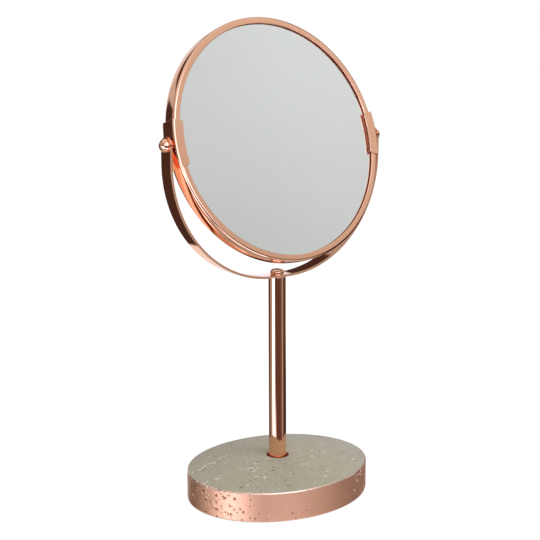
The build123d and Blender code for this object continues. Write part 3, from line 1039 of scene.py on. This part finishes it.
floor_paper = bpy.data.materials.new("floor_paper")
floor_paper.use_nodes = True
floor_tree = floor_paper.node_tree
floor_tree.nodes.clear()
floor_wire = Wire(floor_tree)
seen_by = floor_wire.node("ShaderNodeLightPath")
turned_away = floor_wire.node("ShaderNodeNewGeometry").out("Backfacing")
matt = floor_wire.node("ShaderNodeBsdfDiffuse", None, {"Color": (0.8, 0.8, 0.8, 1.0)})
glow = floor_wire.node("ShaderNodeEmission", None, {"Strength": 0.94})
dim = floor_wire.node("ShaderNodeBsdfDiffuse", None, {"Color": (0.15, 0.15, 0.15, 1.0)})
shown = floor_wire.node("ShaderNodeAddShader", None, {0: glow, 1: dim})
paper = floor_wire.node("ShaderNodeMixShader", None, {0: seen_by.out("Is Camera Ray"), 1: matt, 2: shown})
clear = floor_wire.node("ShaderNodeBsdfTransparent")
past = seen_by.out("Is Glossy Ray").greater(turned_away)
laid = floor_wire.node("ShaderNodeMixShader", None, {0: past, 1: paper, 2: clear})
floor_end = floor_tree.nodes.new("ShaderNodeOutputMaterial")
floor_tree.links.new(laid.socket, floor_end.inputs["Surface"])
floor.data.materials.append(floor_paper)
print("floor is laid")

# %% [markdown]
# ## The studio
# Buffed metal shows its surroundings, so they are built as carefully as the object. Lamps would do, but a
# lamp that stands between the object and another camera is in the way. So the studio is painted on the
# world, in degrees of azimuth and elevation, where azimuth 0 is straight in front of the glass and 90 is
# to its right.

# %% Directions in the studio
studio = bpy.data.worlds.new("studio")
studio.use_nodes = True
bpy.context.scene.world = studio
studio_tree = studio.node_tree
studio_tree.nodes.clear()
sky = Wire(studio_tree)
heading = sky.node("ShaderNodeTexCoord", output="Generated")
heading_parts = sky.node("ShaderNodeSeparateXYZ", None, {"Vector": heading})
to_degrees = 180 / pi
azimuth = sky.maths("ARCTAN2", heading_parts.out("X"), 0 - heading_parts.out("Y")) * to_degrees
elevation = sky.maths("ARCSINE", heading_parts.out("Z")) * to_degrees


def panel(left, right, low, high, level, soft):
    """A glowing panel between two azimuths and two elevations, in degrees, with soft edges."""
    middle = (left + right) / 2
    half = (right - left) / 2
    aside = abs(sky.maths("WRAP", azimuth - middle, 180.0, -180.0))
    in_height = elevation.rise(low - soft, low + soft) * elevation.fall(high - soft, high + soft)
    return aside.fall(half - soft, half + soft) * in_height * level


print("directions are measured in", studio.name)

# %% [markdown]
# The studio has a wall and a large soft box in front, a strip box at the left, bright sheets on the
# table, grey walls at the sides and behind, and a grey card for the glass to look at. Each panel is its
# left and right azimuth, its low and high elevation, its level, and how soft its edges are.

# %% Choose the panels
card_level = 0.55 + 0.115 * elevation.rise(12, 26) + 0.10 * azimuth.rise(34, 46)
panels = {
    "front wall": (-62, 24, 0, 60, 0.90, 5.0),
    "front box": (-34, 20, 3, 46, 2.4, 4.0),
    "front left box": (-58, -42, -6, 20, 1.5, 4.0),
    "card for the glass": (24, 60, 11, 50, card_level, 2.0),
    "foot of the card": (25, 47, -20, -2, 0.44, 2.0),
    "right strip": (62, 78, -2, 22, 1.1, 4.0),
    "right wall": (76, 128, 12, 42, 0.42, 4.0),
    "right edge": (92, 108, -15, -6, 0.7, 2.0),
    "right table": (25, 47, -34, -24, 0.30, 3.0),
    "far right table": (75, 128, -54, -38, 0.30, 4.0),
    "left wall": (-150, -62, 10, 45, 0.45, 3.0),
    "low left wall": (-141, -100, -20, 8, 0.45, 3.0),
    "left strip box": (-103, -69, -20, -6, 4.0, 2.0),
    "left table box": (-92, -53, -46, -19, 2.6, 3.0),
    "table left": (-64, -27, -50, -33, 1.2, 3.0),
    "table middle": (-30, 22, -50, -33, 2.9, 3.0),
    "dim front": (-58, 2, -27, -6, 0.12, 3.0),
    "dim front right": (0, 26, -27, -4, 0.16, 3.0),
    "table front": (-110, 30, -84, -57, 0.85, 3.0),
    "table right": (4, 75, -56, -34, 0.95, 4.0),
    "wall behind": (134, 175, -38, 2, 0.95, 1.5),
    "bright wall behind": (134, 140, -15, 3, 1.6, 1.5),
    "light over the seat": (138, 147, 1, 12, 1.1, 1.5),
    "side wall behind": (143, 160, 0, 13, 0.90, 1.5),
    "upper wall behind": (157, 184, 0, 21, 0.80, 1.5),
    "right wall behind": (126, 137, 5, 30, 0.62, 1.5),
    "high wall behind": (163, 186, 36, 50, 0.45, 3.0),
    "low wall behind": (128, 190, -56, -38, 0.45, 2.0),
    "low wall behind left": (188, 262, -57, -41, 0.45, 2.0),
    "table behind left": (-139, -98, -57, -17, 0.45, 4.0),
    "back wall": (-184, -167, 8, 21, 0.62, 1.5),
    "back wall above": (-170, -150, 14, 21, 0.62, 1.5),
}
print("panels in the studio:", len(panels))

# %% [markdown]
# Where panels overlap, the brightest one shows. Between them lies a dark room with a soft ceiling and a
# dim floor. Its darkness is warm, and the brightest boxes are bluish, as flash light is beside a warm
# room. The camera itself sees a plain white background.

# %% Light the studio
room_level = 0.065
ceiling = elevation.rise(36, 50) * 0.80
far_floor = elevation.fall(-64, -50) * 0.45
glowing = ceiling.greater(far_floor).greater(room_level)
for measures in panels.values():
    glowing = glowing.greater(panel(*measures))

warmth = tint(glowing.rise(0.08, 0.40), (1.0, 0.55, 0.46), (1.0, 1.0, 1.0))
light_colour = tint(glowing.rise(0.97, 1.15), warmth, (0.93, 1.0, 1.28))
shine = sky.node("ShaderNodeBackground", None, {"Color": light_colour, "Strength": glowing})
white = sky.node("ShaderNodeBackground", None, {"Color": (1, 1, 1, 1), "Strength": 1.0})
watcher = sky.node("ShaderNodeLightPath").out("Is Camera Ray")
background = sky.node("ShaderNodeMixShader", None, {0: watcher, 1: shine, 2: white})
studio_end = studio_tree.nodes.new("ShaderNodeOutputWorld")
studio_tree.links.new(background.socket, studio_end.inputs["Surface"])
print("the studio has", len(studio_tree.nodes), "nodes")

# %% [markdown]
# ## Two lamps for the concrete
# Concrete scatters light, so it needs more of it than the metal, which only mirrors. A broad lamp in
# front and a broader one behind give it, and each softens the other's shadow of the stem. They are kept
# out of the reflections, so that the copper keeps its dark bands.

# %% Hang the lamps
def hang_lamp(name, place, size, energy):
    """A square soft lamp that shines at the slab."""
    bpy.ops.object.select_all(action="DESELECT")
    bpy.ops.object.light_add(type="AREA", location=place)
    lamp = bpy.context.object
    lamp.name = name
    lamp.rotation_euler = Vector(place).to_track_quat("Z", "Y").to_euler()
    lamp.data.shape = "SQUARE"
    lamp.data.size = size
    lamp.data.energy = energy
    lamp.visible_glossy = False
    lamp.visible_camera = False
    print(name, "of", energy, "W")


hang_lamp("front_lamp", (0.35, -0.7, 1.2), 0.6, 4.5)
hang_lamp("back_lamp", (0.3, 0.75, 1.2), 0.8, 5.5)
